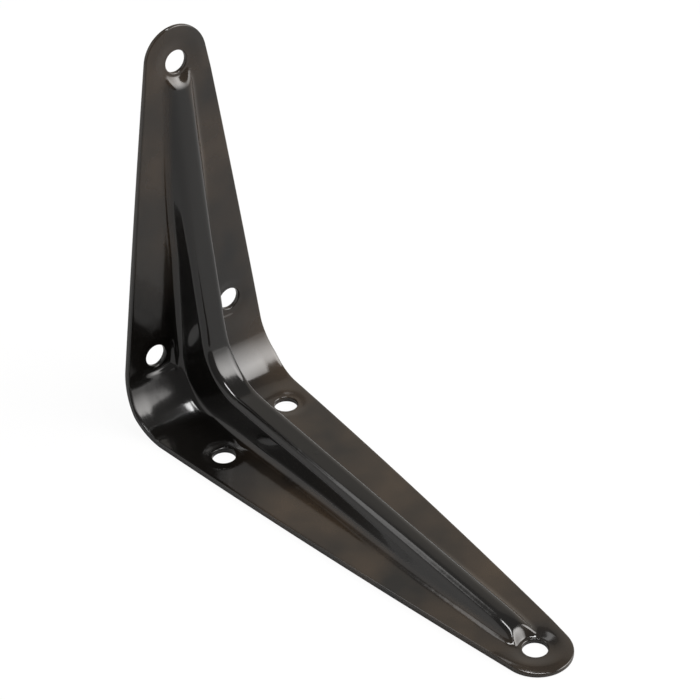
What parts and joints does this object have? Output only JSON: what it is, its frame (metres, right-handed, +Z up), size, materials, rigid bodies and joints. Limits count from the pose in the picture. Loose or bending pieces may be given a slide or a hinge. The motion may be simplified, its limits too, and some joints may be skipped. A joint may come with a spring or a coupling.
{
  "type": "shelf bracket",
  "caption": "Pressed steel angle bracket: two tapering arms with round tips, a hollow rib round the inside of the bend, and countersunk screw holes.",
  "frame": {"origin": "where the planes of the two arms' backs meet, in the middle of the width", "axes": "+Z up along the wall arm, +X out along the shelf arm, +Y across the width"},
  "size_m": [0.1, 0.0312, 0.075],
  "materials": {
    "enamelled_steel": "glossy black-brown stoved enamel over sheet steel"
  },
  "bodies": {
    "root": {"bracket": "enamelled_steel"}
  },
  "joints": []
}
